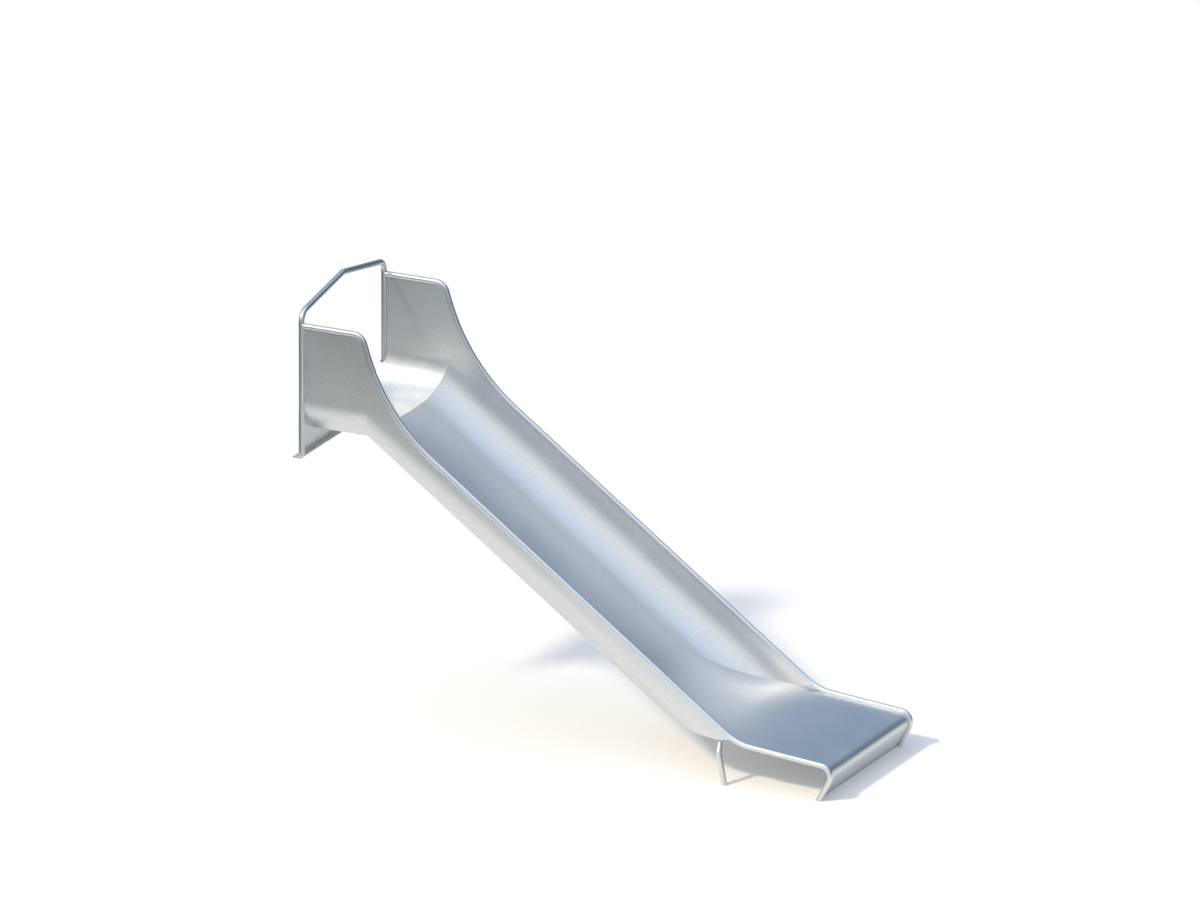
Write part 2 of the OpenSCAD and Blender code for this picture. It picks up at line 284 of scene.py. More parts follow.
    def on_chute(self, run: float, depth: float) -> Vector:
        """Side-view point at a place along the chute and a depth below its rim."""
        return self.end + run * along(self.slope) + depth * below(self.slope)

    def to_chute(self, point: Vector) -> Point2:
        """Place along the chute and depth below its rim of a side-view point."""
        step = point - self.end
        return step.dot(along(self.slope)), step.dot(below(self.slope))


@dataclass(frozen=True)
class Trough:
    """The trough's section, in the middle of its sheet, from wall to floor."""

    half: float
    radius: float
    floor: float

    @property
    def wall_end(self) -> float:
        """Depth at which the flat wall turns into the round corner."""
        return self.floor - self.radius

    @property
    def floor_start(self) -> float:
        """Length along the section at which the round corner turns into the floor."""
        return self.wall_end + self.radius * math.pi / 2

    @property
    def middle(self) -> float:
        """Length along the section at which it reaches the middle plane."""
        return self.floor_start + self.half - self.radius

    def length_at(self, depth: float) -> float:
        """Length along the section from the rim's line down to a depth.

        Args:
            depth: Depth below the rim's line.

        Returns:
            The length, which is the depth itself on the flat wall.
        """
        if depth <= self.wall_end:
            return depth
        share = min((depth - self.wall_end) / self.radius, 1.0)
        return self.wall_end + self.radius * math.asin(share)

    def point(self, length: float) -> Point2:
        """Half width and depth of the section at a length along it.

        Args:
            length: Length from the rim's line, down the wall, round the corner
                and along the floor towards the middle.

        Returns:
            The distance from the middle plane, and the depth.
        """
        if length <= self.wall_end:
            return self.half, length
        turn = (length - self.wall_end) / self.radius
        if turn <= math.pi / 2:
            across = self.half - self.radius * (1 - math.cos(turn))
            return across, self.wall_end + self.radius * math.sin(turn)
        return self.middle - length, self.floor

    def whole(self, lengths: Sequence[float]) -> list[Point2]:
        """The section from wall to wall, given at lengths of its left half."""
        half = [self.point(length) for length in lengths]
        return half + [(-y, depth) for y, depth in reversed(half[:-1])]


def arc_through(corner: Vector, before: float, after: float, radius: float, count: int) -> list[Vector]:
    """Points round a bend in the side view.

    Args:
        corner: Where the two straight lines would meet.
        before: Fall of the line before the bend.
        after: Fall of the line after it.
        radius: Bend radius.
        count: Number of steps.

    Returns:
        Points from the bend's start to its end.
    """
    turn = 1 if after > before else -1
    reach = radius * math.tan(math.radians(abs(after - before)) / 2)
    centre = corner - reach * along(before) + turn * radius * below(before)
    return [centre - turn * radius * below(a) for a in steps(before, after, count)]


def bend_3d(corner: Vector, before: Vector, after: Vector, radius: float, count: int) -> list[Vector]:
    """Points round a bend between two directions in space.

    Args:
        corner: Where the two straight lines would meet.
        before: Unit direction of travel before the bend.
        after: Unit direction of travel after it.
        radius: Bend radius.
        count: Number of steps.

    Returns:
        Points from the bend's start to its end.
    """
    turn = before.angle(after)
    inward = (after - before * before.dot(after)).normalized()
    centre = corner - before * radius * math.tan(turn / 2) + inward * radius
    return [
        centre + radius * (before * math.sin(a) - inward * math.cos(a))
        for a in steps(0.0, turn, count)
    ]


def grid(rows: Sequence[Sequence[Vector]]) -> Patch:
    """Corners and square faces of a sheet that is given row by row.

    Args:
        rows: Rows of equally many corners.

    Returns:
        The corners, and the corner numbers of each face.
    """
    wide = len(rows[0])
    faces = [
        (r * wide + c, r * wide + c + 1, (r + 1) * wide + c + 1, (r + 1) * wide + c)
        for r in range(len(rows) - 1)
        for c in range(wide - 1)
    ]
    return [corner for row in rows for corner in row], faces


def link(name: str, mesh: bpy.types.ID) -> bpy.types.Object:
    """Puts a mesh, lamp, camera or curve into the scene.

    Args:
        name: Name of the new object.
        mesh: What it shows.

    Returns:
        The object.
    """
    piece = bpy.data.objects.new(name, mesh)
    bpy.context.scene.collection.objects.link(piece)
    return piece


def smooth_piece(name: str, patches: Sequence[Patch]) -> bpy.types.Object:
    """Makes a smooth piece with merged corners and even normals.

    Args:
        name: Name of the piece.
        patches: Corners and faces of each part of it.

    Returns:
        The piece.
    """
    corners: list[Vector] = []
    faces: list[Face] = []
    for more, squares in patches:
        start = len(corners)
        corners += more
        faces += [tuple(i + start for i in face) for face in squares]
    mesh = bpy.data.meshes.new(name)
    mesh.from_pydata([tuple(corner) for corner in corners], [], faces)
    work = bmesh.new()
    work.from_mesh(mesh)
    bmesh.ops.remove_doubles(work, verts=work.verts, dist=SAME_POINT)
    bmesh.ops.dissolve_degenerate(work, edges=work.edges, dist=SAME_POINT / 10)
    bmesh.ops.recalc_face_normals(work, faces=work.faces)
    for face in work.faces:
        face.smooth = True
    work.to_mesh(mesh)
    work.free()
    return link(name, mesh)


def plain_mesh(piece: bpy.types.Object) -> bpy.types.Mesh:
    """What a piece's modifiers make of it, as a mesh of its own."""
    graph = bpy.context.evaluated_depsgraph_get()
    return bpy.data.meshes.new_from_object(piece.evaluated_get(graph))


def thicken(piece: bpy.types.Object, wall: float, offset: float) -> None:
    """Gives an open sheet its thickness, and keeps its cut edges sharp.

    Args:
        piece: The sheet.
        wall: Thickness.
        offset: -1 puts it behind the faces, 0 half on each side.
    """
    solid = piece.modifiers.new("wall", "SOLIDIFY")
    solid.thickness = wall
    solid.offset = offset
    solid.use_even_offset = True
    thin = piece.data
    thick = plain_mesh(piece)
    piece.modifiers.clear()
    piece.data = thick
    bpy.data.meshes.remove(thin)
    thick.set_sharp_from_angle(angle=math.radians(CRISP_ANGLE))


class Nodes:
    """A node tree that is put together by name."""

    def __init__(self, tree: bpy.types.NodeTree) -> None:
        """Takes over a tree and empties it."""
        self.tree = tree
        self.tree.nodes.clear()

    def add(self, kind: str, values: Values) -> bpy.types.Node:
        """Adds a node.

        Args:
            kind: The node's type.
            values: Its properties by name, and what its inputs get by name or
                number: a socket is linked, and a plain value is set.

        Returns:
            The node.
        """
        node = self.tree.nodes.new(kind)
        for key, value in values.items():
            if isinstance(value, Socket):
                self.tree.links.new(value, node.inputs[key])
            elif isinstance(key, int) or key in node.inputs:
                node.inputs[key].default_value = value
            else:
                setattr(node, key, value)
        return node

    def out(self, kind: str, values: Values, output: str | int = 0) -> Socket:
        """Adds a node and gives one of its outputs."""
        return self.add(kind, values).outputs[output]


class Tree(Nodes):
    """A Geometry Nodes tree that makes a piece from a path."""

    def __init__(self, name: str) -> None:
        """Starts a tree that takes in a path and gives out a mesh.

        Args:
            name: Name of the node group.
        """
        super().__init__(bpy.data.node_groups.new(name, "GeometryNodeTree"))
        for way in ("INPUT", "OUTPUT"):
            self.tree.interface.new_socket(
                name="Geometry", in_out=way, socket_type="NodeSocketGeometry"
            )
        self.source = self.add("NodeGroupInput", {})

    @property
    def path(self) -> Socket:
        """The path that the tree takes in."""
        return self.source.outputs["Geometry"]

    def size(self, name: str, kind: str = "NodeSocketFloat") -> Socket:
        """Adds a named input and returns its socket inside the tree."""
        self.tree.interface.new_socket(name=name, in_out="INPUT", socket_type=kind)
        return self.source.outputs[name]

    def finish(self, made: Socket) -> None:
        """Ends the tree in Realize Instances and Set Material.

        Args:
            made: The geometry that the tree has made.
        """
        real = self.out("GeometryNodeRealizeInstances", {"Geometry": made})
        smooth = self.out("GeometryNodeSetShadeSmooth", {"Geometry": real})
        material = self.size("Material", "NodeSocketMaterial")
        dressed = self.out("GeometryNodeSetMaterial", {"Geometry": smooth, "Material": material})
        self.add("NodeGroupOutput", {"Geometry": dressed})

    def run(
        self, name: str, points: Sequence[Vector], closed: bool, sizes: dict[str, object]
    ) -> bpy.types.Object:
        """Runs the tree on a path and returns the result as a plain mesh.

        Args:
            name: Name of the piece.
            points: The path.
            closed: Whether the path ends where it starts.
            sizes: Values of the tree's inputs, by name.

        Returns:
            The piece.
        """
        curve = bpy.data.curves.new(name + "_path", "CURVE")
        curve.dimensions = "3D"
        line = curve.splines.new("POLY")
        line.points.add(len(points) - 1)
        for spot, point in zip(line.points, points):
            spot.co = (*point, 1.0)
        line.use_cyclic_u = closed
        carrier = link(name + "_path", curve)
        nodes = carrier.modifiers.new("shape", "NODES")
        nodes.node_group = self.tree
        for item in self.tree.interface.items_tree:
            if item.in_out == "INPUT" and item.name in sizes:
                nodes[item.identifier] = sizes[item.name]
        mesh = plain_mesh(carrier)
        mesh.name = name
        bpy.data.objects.remove(carrier)
        bpy.data.curves.remove(curve)
        return link(name, mesh)


def sweep_tree() -> Tree:
    """Builds the tree that draws a round bar or tube along a path.

    Returns:
        A tree with the inputs Radius, Sides and Material.
    """
    tree = Tree("round_sweep")
    ring = tree.out("GeometryNodeCurvePrimitiveCircle", {
        "mode": "RADIUS",
        "Radius": tree.size("Radius"),
        "Resolution": tree.size("Sides", "NodeSocketInt"),
    })
    marked = tree.out("GeometryNodeStoreNamedAttribute", {
        "data_type": "FLOAT",
        "domain": "POINT",
        "Name": "run_m",
        "Geometry": tree.path,
        "Value": tree.out("GeometryNodeSplineParameter", {}, "Length"),
    })
    tree.finish(tree.out("GeometryNodeCurveToMesh", {"Curve": marked, "Profile Curve": ring}))
    return tree


def bead_tree(least: float = 0.88, most: float = 1.12) -> Tree:
    """Builds the tree that lays weld ripples along a path.

    Args:
        least: Size of the smallest ripple, against the mean one.
        most: Size of the largest.

    Returns:
        A tree with the inputs Width, Height, Pitch, Seed and Material.
    """
    tree = Tree("weld_ripples")
    width, height, pitch = [tree.size(name) for name in ("Width", "Height", "Pitch")]
    seed = tree.size("Seed", "NodeSocketInt")
    shape = tree.out("ShaderNodeCombineXYZ", {"X": width, "Y": height, "Z": pitch})
    vary = tree.out(
        "FunctionNodeRandomValue", {"data_type": "FLOAT", 2: least, 3: most, "Seed": seed}, 1
    )
    tree.finish(tree.out("GeometryNodeInstanceOnPoints", {
        "Points": tree.out(
            "GeometryNodeResampleCurve", {"mode": "LENGTH", "Curve": tree.path, "Length": pitch}
        ),
        "Instance": tree.out("GeometryNodeMeshIcoSphere", {"Radius": 1.0, "Subdivisions": 2}),
        "Rotation": tree.out("FunctionNodeAlignRotationToVector", {
            "axis": "Z", "Vector": tree.out("GeometryNodeInputTangent", {}),
        }),
        "Scale": tree.out("ShaderNodeVectorMath", {"operation": "SCALE", 0: shape, "Scale": vary}),
    }))
    return tree


class Shader(Nodes):
    """The nodes of a material or of the sky."""

    def __init__(
        self,
        owner: bpy.types.Material | bpy.types.World,
        place: str = "Object",
        end: str = "ShaderNodeOutputMaterial",
    ) -> None:
        """Starts with no more than the coordinates.

        Args:
            owner: The material or world.
            place: Which coordinates its patterns lie on.
            end: Type of its output node.
        """
        owner.use_nodes = True
        super().__init__(owner.node_tree)
        self.place = self.out("ShaderNodeTexCoord", {}, place)
        self.end = end

    def finish(self, surface: Socket) -> None:
        """Names the shader that is seen."""
        self.add(self.end, {"Surface": surface})

    def noise(self, scale: float, octaves: float, streak: float = 1.0) -> Socket:
        """A noise in the object's own space.

        Args:
            scale: Features per metre.
            octaves: How many times finer ones are laid over it.
            streak: Factor on Y; below 1, the features are drawn out across the slide.

        Returns:
            The noise's value, from 0 to 1.
        """
        spot = self.out("ShaderNodeMapping", {"Scale": (1.0, streak, 1.0), "Vector": self.place})
        values = {"Scale": scale, "Detail": octaves, "Vector": spot}
        return self.out("ShaderNodeTexNoise", values, "Fac")

    def rings(self, scale: float, octaves: float = 3.0) -> Socket:
        """A noise along a tube's own length, as a belt grinder leaves it.

        Args:
            scale: Features per metre.
            octaves: How many times finer ones are laid over it.

        Returns:
            The noise's value, from 0 to 1.
        """
        run = self.out("ShaderNodeAttribute", {"attribute_name": "run_m"}, "Fac")
        values = {"noise_dimensions": "1D", "Scale": scale, "Detail": octaves, "W": run}
        return self.out("ShaderNodeTexNoise", values, "Fac")

    def spread(self, noise: Socket, low: float, high: float, middle: Point2 = (0.3, 0.7)) -> Socket:
        """Maps the middle of a noise to a range.

        Args:
            noise: The noise.
            low: Result for its dark parts.
            high: Result for its light parts.
            middle: The stretch of the noise that is spread out.

        Returns:
            The mapped value.
        """
        return self.out("ShaderNodeMapRange", {
            "Value": noise,
            "From Min": middle[0],
            "From Max": middle[1],
            "To Min": low,
            "To Max": high,
        })

    def ranged(self, value: Socket, reach: Point2, least: float = 0.0) -> Socket:
        """Where a value lies between two others, with soft ends.

        Args:
            value: The value.
            reach: Where it counts as the least, and where as 1.
            least: Result at the start of the reach.

        Returns:
            The share.
        """
        return self.out("ShaderNodeMapRange", {
            "interpolation_type": "SMOOTHSTEP",
            "Value": value,
            "From Min": reach[0],
            "From Max": reach[1],
            "To Min": least,
        })

    def mixed(self, share: Socket, first: object, second: object, way: str = "MIX") -> Socket:
        """A colour made of two others.

        Args:
            share: How far it is towards the second.
            first: A plain colour or a socket.
            second: A plain colour or a socket.
            way: How the second is laid over the first.

        Returns:
            The colour.
        """
        base, over = ((*c, 1.0) if isinstance(c, tuple) else c for c in (first, second))
        values = {"data_type": "RGBA", "blend_type": way, 0: share, 6: base, 7: over}
        return self.out("ShaderNodeMix", values, 2)

    def layered(self, share: Socket, under: object, over: object) -> Socket:
        """Two shaders mixed by a share."""
        return self.out("ShaderNodeMixShader", {0: share, 1: under, 2: over})

    def product(self, first: object, second: object) -> Socket:
        """The product of two values, each a number or a socket."""
        return self.out("ShaderNodeMath", {"operation": "MULTIPLY", 0: first, 1: second})

    def sum(self, first: object, second: object) -> Socket:
        """The sum of two values, each a number or a socket."""
        return self.out("ShaderNodeMath", {"operation": "ADD", 0: first, 1: second})

    def ray(self, kind: str) -> Socket:
        """1 to rays of one kind, such as the camera's, and 0 to all others."""
        return self.out("ShaderNodeLightPath", {}, kind)

    def distance(self, point: Point3) -> Socket:
        """Distance from a point in the object's own space."""
        values = {"operation": "DISTANCE", 0: self.place, 1: point}
        return self.out("ShaderNodeVectorMath", values, "Value")

    def bump(self, height: Socket, depth: float, under: dict[str, object]) -> Socket:
        """A relief of a real depth, and the normal under it where there is one."""
        values = {"Strength": 1.0, "Distance": depth, "Height": height, **under}
        return self.out("ShaderNodeBump", values)


@dataclass(frozen=True)
class Steel:
    """A stainless finish: its colours, gloss, clouds, grain and waviness."""

    name: str
    slot: str
    dark: Colour
    light: Colour
    smooth: float
    rough: float
    grain: float
    grain_depth: float
    lie: Grain = Grain.EVEN
    grain_tone: float = 0.8
    grain_octaves: float = 7.0
    grain_gloss: float = 0.08
    cloud: float = 2.3
    cloud_octaves: float = 3.0
    cloud_streak: float = 1.0
    cloud_tone: float = 0.25
    wave: float = 3.1
    wave_depth: float = 0.0
    metal: float = 1.0

    def material(self) -> bpy.types.Material:
        """Builds the finish as a procedural material.

        Returns:
            The material.
        """
        material = bpy.data.materials.new(self.name)
        shader = Shader(material)
        cloud = shader.noise(self.cloud, self.cloud_octaves, self.cloud_streak)
        if self.lie is Grain.RINGS:
            fine = shader.rings(self.grain)
        else:
            fine = shader.noise(self.grain, self.grain_octaves)
        tones = shader.sum(
            shader.spread(cloud, 0.5 - self.cloud_tone, 0.5 + self.cloud_tone),
            shader.spread(fine, 0.5 - self.grain_tone, 0.5 + self.grain_tone),
        )
        uneven = self.grain_gloss * self.grain_tone
        gloss = shader.product(
            shader.spread(cloud, self.smooth, self.rough),
            shader.spread(fine, 1.0 - uneven, 1.0 + uneven),
        )
        under = {}
        if self.wave_depth > 0.0:
            under["Normal"] = shader.bump(shader.noise(self.wave, 1.0), self.wave_depth, {})
        shader.finish(shader.out("ShaderNodeBsdfPrincipled", {
            "Metallic": self.metal,
            "Base Color": shader.mixed(shader.product(tones, 0.5), self.dark, self.light),
            "Roughness": gloss,
            "Normal": shader.bump(fine, self.grain_depth, under),
        }))
        return material


SHEET = Steel(
    name="satin_sheet",
    slot="sheet_steel",
    dark=(0.65, 0.67, 0.68),
    light=(0.78, 0.79, 0.79),
    smooth=0.38,
    rough=0.44,
    grain=105.0,
    grain_depth=0.0007,
    wave_depth=0.0003,
    metal=0.91,
)
TUBE = Steel(
    name="ground_tube",
    slot="tube_steel",
    dark=(0.68, 0.70, 0.71),
    light=(0.80, 0.81, 0.81),
    smooth=0.34,
    rough=0.41,
    grain=420.0,
    grain_depth=0.000006,
    lie=Grain.RINGS,
    grain_tone=0.25,
)
PLATE = Steel(
    name="mill_plate",
    slot="plate_steel",
    dark=(0.67, 0.70, 0.70),
    light=(0.77, 0.79, 0.79),
    smooth=0.52,
    rough=0.60,
    grain=240.0,
    grain_depth=0.00002,
    grain_tone=0.3,
    cloud=14.0,
    cloud_octaves=6.0,
    cloud_streak=0.35,
    metal=0.85,
)
BEAD = Steel(
    name="weld_bead",
    slot="plate_steel",
    dark=(0.38, 0.37, 0.35),
    light=(0.55, 0.55, 0.54),
    smooth=0.30,
    rough=0.48,
    grain=520.0,
    grain_depth=0.0001,
)


class Finishes:
    """The slide's materials, each built once."""

    def __init__(self) -> None:
        """Builds all four finishes."""
        self.made = {steel.name: steel.material() for steel in (SHEET, TUBE, PLATE, BEAD)}

    def of(self, steel: Steel) -> bpy.types.Material:
        """The material of a finish."""
        return self.made[steel.name]

    def dress(self, piece: bpy.types.Object, steel: Steel) -> None:
        """Gives a piece one finish all over."""
        piece.data.materials.clear()
        piece.data.materials.append(self.of(steel))

    def settle(self, piece: bpy.types.Object, steel: Steel, nodes: Sequence[str] = ()) -> None:
        """Dresses a new piece, hangs it on the body and hides the CAD nodes that it replaces.

        Args:
            piece: The piece, in its place.
            steel: Its finish.
            nodes: CAD nodes that it replaces.
        """
        self.dress(piece, steel)
        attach(piece, BODY)
        if nodes:
            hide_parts(*nodes)
        log.info("%s: %d faces", piece.name, len(piece.data.polygons))


@dataclass
class TubeWork:
    """Every bent tube: posts with their hoop, rails, rims, run-out edges and legs."""

    slide: Slide
    finishes: Finishes
    sides: int = 40
    bend_steps: int = 28
    rim_steps: int = 12
    tree: Tree = field(default_factory=sweep_tree)

    @property
    def ground_cut(self) -> Cut:
        """The cut that ends a tube at the ground."""
        return Vector((0.0, 0.0, self.slide.ground)), -UP

    @property
    def pad_cut(self) -> Cut:
        """The cut that ends a leg at its pad.

        Returns:
            A point on the pads' lower face, and its upward normal.
        """
        slide = self.slide
        deep = slide.sheet_sink + slide.sheet + slide.pad
        point = slide.end + deep * below(slide.runout_slope)
        return placed(point, 0.0), placed(-below(slide.runout_slope), 0.0)

    def tube(self, side: Side, node: str, path: Sequence[Vector], cuts: Sequence[Cut] = ()) -> None:
        """Makes one tube along a path and puts it in its node's place.

        Args:
            side: Its side of the slide.
            node: Name of the CAD node, without its side.
            path: Centre line, in space or in the side view.
            cuts: Planes that end the tube, each a point and the way off.
        """
        slide = self.slide
        name = f"{side.word}_{node}"
        line = [p if len(p) == 3 else placed(p, slide.plane(side)) for p in path]
        finish = self.finishes.of(TUBE)
        sizes = {"Radius": slide.tube_r, "Sides": self.sides, "Material": finish}
        piece = self.tree.run(name + "_tube", line, False, sizes)
        work = bmesh.new()
        work.from_mesh(piece.data)
        bmesh.ops.recalc_face_normals(work, faces=work.faces)
        for point, away in cuts:
            whole = work.verts[:] + work.edges[:] + work.faces[:]
            bmesh.ops.bisect_plane(
                work, geom=whole, plane_co=point, plane_no=away, clear_outer=True
            )
        work.to_mesh(piece.data)
        work.free()
        thicken(piece, slide.tube_wall, -1.0)
        self.finishes.settle(piece, TUBE, [name])

    def bend(self, corner: Vector, before: float, after: float, radius: float) -> list[Vector]:
        """One bend of a tube in the side view, from one fall to another."""
        return arc_through(corner, before, after, radius, self.bend_steps)

    def post_bar(self, side: Side) -> None:
        """One post with its half of the hoop, cut at the middle plane.

        Args:
            side: Its side of the slide.
        """
        slide = self.slide
        foot = Vector((0.0, slide.plane(side), slide.plate))
        shoulder = Vector((0.0, foot.y, slide.rail_height + slide.shoulder))
        over = (slide.hoop_peak - shoulder).normalized()
        path = [foot, *bend_3d(shoulder, UP, over, slide.hoop_bend, self.bend_steps)]
        path += [slide.hoop_peak + over * 2 * slide.tube_r]
        self.tube(side, "post_bar", path, [(Vector(), side.inward)])

    def head_rail(self, side: Side) -> None:
        """Level rail, tight corner, drop and long sweep.

        Args:
            side: Its side of the slide.
        """
        slide = self.slide
        drop = slide.rail_drop
        path = [Vector((slide.gap, slide.rail_height))]
        path += self.bend(slide.rail_corner, 0.0, drop, slide.rail_bend)
        path += self.bend(slide.drop_corner, drop, slide.slope, slide.rail_sweep)
        self.tube(side, "head_rail", path)

    def rim(self, side: Side) -> None:
        """Straight rim along the chute."""
        start, end = self.slide.rim_start, self.slide.edge_start
        self.tube(side, "rim", [start.lerp(end, k) for k in steps(0.0, 1.0, self.rim_steps)])

    def runout_edge(self, side: Side) -> None:
        """Edge of the run-out, over the nose and down to the ground.

        Args:
            side: Its side of the slide.
        """
        slide = self.slide
        path = self.bend(slide.end, slide.slope, slide.runout_slope, slide.edge_bend)
        path += self.bend(slide.nose, slide.runout_slope, slide.apron_fall, slide.nose_bend)
        path += [slide.foot + slide.tube_r * along(slide.apron_fall)]
        self.tube(side, "runout_edge", path, [self.ground_cut])

    def leg_points(self, side: Side) -> tuple[Vector, Vector, Vector]:
        """Foot, knee and top of a leg's centre line.

        Args:
            side: Its side of the slide.

        Returns:
            The three points.
        """
        slide = self.slide
        lean = math.radians(slide.leg_lean)
        turn = math.radians(slide.leg_turn)
        foot = Vector((slide.leg_x, slide.plane(side), slide.ground))
        up = Vector((-math.sin(lean), 0.0, math.cos(lean)))
        knee = foot + up * slide.leg_knee
        over = up * math.cos(turn) + side.inward * math.sin(turn)
        face, flat = self.pad_cut
        return foot, knee, knee + over * ((face - knee).dot(flat) / over.dot(flat))

    def leg(self, side: Side) -> None:
        """Bent leg from the ground to its pad.

        Args:
            side: Its side of the slide.
        """
        slide = self.slide
        foot, knee, top = self.leg_points(side)
        up = (knee - foot).normalized()
        over = (top - knee).normalized()
        path = [foot - up * slide.tube_r]
        path += bend_3d(knee, up, over, slide.leg_bend, self.bend_steps)
        path += [top + over * slide.tube_r * 2]
        self.tube(side, "leg", path, [self.ground_cut, self.pad_cut])

    def build(self) -> None:
        """Makes every tube on both sides."""
        for side in Side:
            for make in (self.post_bar, self.head_rail, self.rim, self.runout_edge, self.leg):
                make(side)


@dataclass
class SheetWork:
    """The curved sheets: start trough, sliding trough and run-out."""

    slide: Slide
    finishes: Finishes
    columns: int = 56
    rows: int = 60
    wall_columns: int = 10
    wedge_columns: int = 16
    wedge_tip: float = 0.001
    start_rows: int = 16
    runout_columns: int = 48
    sweep_steps: int = 72
    flat_steps: int = 14
    nose_steps: int = 36
    apron_steps: int = 6

    def __post_init__(self) -> None:
        """Works out the section that both troughs share."""
        slide = self.slide
        self.section = Trough(slide.half_width, slide.corner_r + slide.sheet / 2, slide.mid_floor)

    def sheet(self, name: str, patches: Sequence[Patch]) -> None:
        """Makes one sheet, thickens it and puts it in its node's place.

        Args:
            name: Name of the CAD node.
            patches: Its faces, in mid sheet.
        """
        piece = smooth_piece(name + "_sheet", patches)
        thicken(piece, self.slide.sheet, 0.0)
        self.finishes.settle(piece, SHEET, [name])

    def start_trough(self) -> None:
        """Level trough: cut round each post, and narrower between the posts."""
        slide = self.slide
        section = self.section
        inside = slide.half_width - slide.stop
        turn = math.acos(1 - (section.half - inside) / section.radius)
        cut = section.wall_end + section.radius * turn
        wall = steps(slide.stop, cut, self.wall_columns)[:-1]
        whole = section.whole(wall + steps(cut, section.middle, self.columns))
        lean = math.tan(math.radians(slide.slope / 2))
        lowest = slide.on_chute(slide.mitre_run, slide.trough_depth + slide.sheet)

        def row(share: float) -> list[Vector]:
            """One cross-section, a share of the way from the posts to the mitre.

            Args:
                share: 0 round the posts, 1 at the mitre.

            Returns:
                Its points from wall to wall.
            """
            points = []
            for y, depth in whole:
                z = slide.start_line - depth
                off = min(slide.half_width - abs(y), slide.stop)
                first = math.sqrt(slide.stop**2 - off**2)
                last = lowest.x + (z - lowest.y) * lean
                points.append(Vector((first + (last - first) * share, y, z)))
            return points

        narrow = [(y, depth) for y, depth in whole if abs(y) <= inside + SAME_POINT]
        back = [
            [Vector((x, y, slide.start_line - depth)) for y, depth in narrow]
            for x in (slide.head_back, 0.0)
        ]
        front = [row(share) for share in steps(0.0, 1.0, self.start_rows)]
        self.sheet("start_trough", [grid(back), grid(front)])

    @property
    def edge_centre(self) -> Point2:
        """Centre of the edge tube's bend, in the chute's own run and depth."""
        return -self.slide.edge_tangent, -self.slide.edge_bend

    def wall_top(self, run: float) -> float:
        """Depth at which the trough's wall ends under the tube.

        Args:
            run: Place along the chute.

        Returns:
            The depth below the rim's line.
        """
        slide = self.slide
        centre_run, centre_depth = self.edge_centre
        if run <= centre_run:
            return slide.stop
        reach = slide.edge_bend + slide.stop
        return centre_depth + math.sqrt(reach**2 - (run - centre_run) ** 2)

    def wall_foot(self, run: float) -> float:
        """Depth at which the trough's wall meets the run-out's underside.

        Args:
            run: Place along the chute.

        Returns:
            The depth below the rim's line.
        """
        slide = self.slide
        start, _ = slide.to_chute(slide.sweep_start)
        reach = slide.runout_sweep + slide.sheet / 2
        return slide.mid_floor - slide.runout_sweep + math.sqrt(reach**2 - (run - start) ** 2)

    def chute_trough(self) -> None:
        """Sliding trough, and the wedges of its walls beside the run-out's sweep."""
        slide = self.slide
        section = self.section
        start, _ = slide.to_chute(slide.sweep_start)
        profile = section.whole(steps(slide.stop, section.middle, self.columns))
        body = []
        for share in steps(0.0, 1.0, self.rows):
            row = []
            for y, depth in profile:
                first = slide.mitre_at(depth)
                row.append(placed(slide.on_chute(first + (start - first) * share, depth), y))
            body.append(row)
        last = start
        while self.wall_foot(last) - self.wall_top(last) > self.wedge_tip:
            last += self.wedge_tip
        wedges = []
        for side in Side:
            strip = []
            for run in steps(start, last, self.rows):
                top = section.length_at(self.wall_top(run))
                foot = section.length_at(min(self.wall_foot(run), section.floor))
                points = [section.point(k) for k in steps(top, foot, self.wedge_columns)]
                strip.append([placed(slide.on_chute(run, d), side.value * y) for y, d in points])
            wedges.append(grid(strip))
        self.sheet("chute_trough", [grid(body), *wedges])

    def runout_line(self) -> list[Vector]:
        """Side view of the run-out sheet, in mid sheet, down to the ground.

        Returns:
            Its points, from the sliding floor on.
        """
        slide = self.slide
        fall, low = slide.runout_slope, slide.apron_fall
        line = arc_through(slide.crossing, slide.slope, fall, slide.runout_sweep, self.sweep_steps)
        bend = slide.nose_bend - slide.mid_runout
        half_turn = math.tan(math.radians(low - fall) / 2)
        start = slide.nose - slide.nose_bend * half_turn * along(fall)
        start += slide.mid_runout * below(fall)
        nose = arc_through(start + bend * half_turn * along(fall), fall, low, bend, self.nose_steps)
        flat = [line[-1].lerp(nose[0], k) for k in steps(0.0, 1.0, self.flat_steps)[1:-1]]
        drop = (nose[-1].y - slide.ground) / math.sin(math.radians(low))
        foot = nose[-1] + drop * along(low)
        apron = [nose[-1].lerp(foot, k) for k in steps(0.0, 1.0, self.apron_steps)[1:]]
        return line + flat + nose + apron

    def reach_across(self, point: Vector) -> float:
        """Half width of the run-out sheet at a side-view point in mid sheet.

        Args:
            point: The point.

        Returns:
            Distance from the middle plane to the sheet's edge, at the wall or the tube.
        """
        slide = self.slide
        run, depth = slide.to_chute(point)
        centre_run, centre_depth = self.edge_centre
        wall_end = slide.trough_depth - slide.corner_r
        wall = slide.half_width - slide.sheet / 2 - slide.gap
        if depth > wall_end and point.x < slide.end.x:
            fall = min(depth - wall_end, slide.corner_r)
            wall = slide.half_width - slide.sheet / 2 - slide.corner_r
            wall += math.sqrt(slide.corner_r**2 - fall**2)
        clear = depth
        if run > centre_run:
            clear = math.hypot(run - centre_run, depth - centre_depth) - slide.edge_bend
        if point.x > slide.end.x:
            clear = slide.mid_runout
        tube = slide.half_width
        if clear < slide.stop:
            tube -= math.sqrt(slide.stop**2 - max(clear, 0.0) ** 2)
        return min(wall, tube)

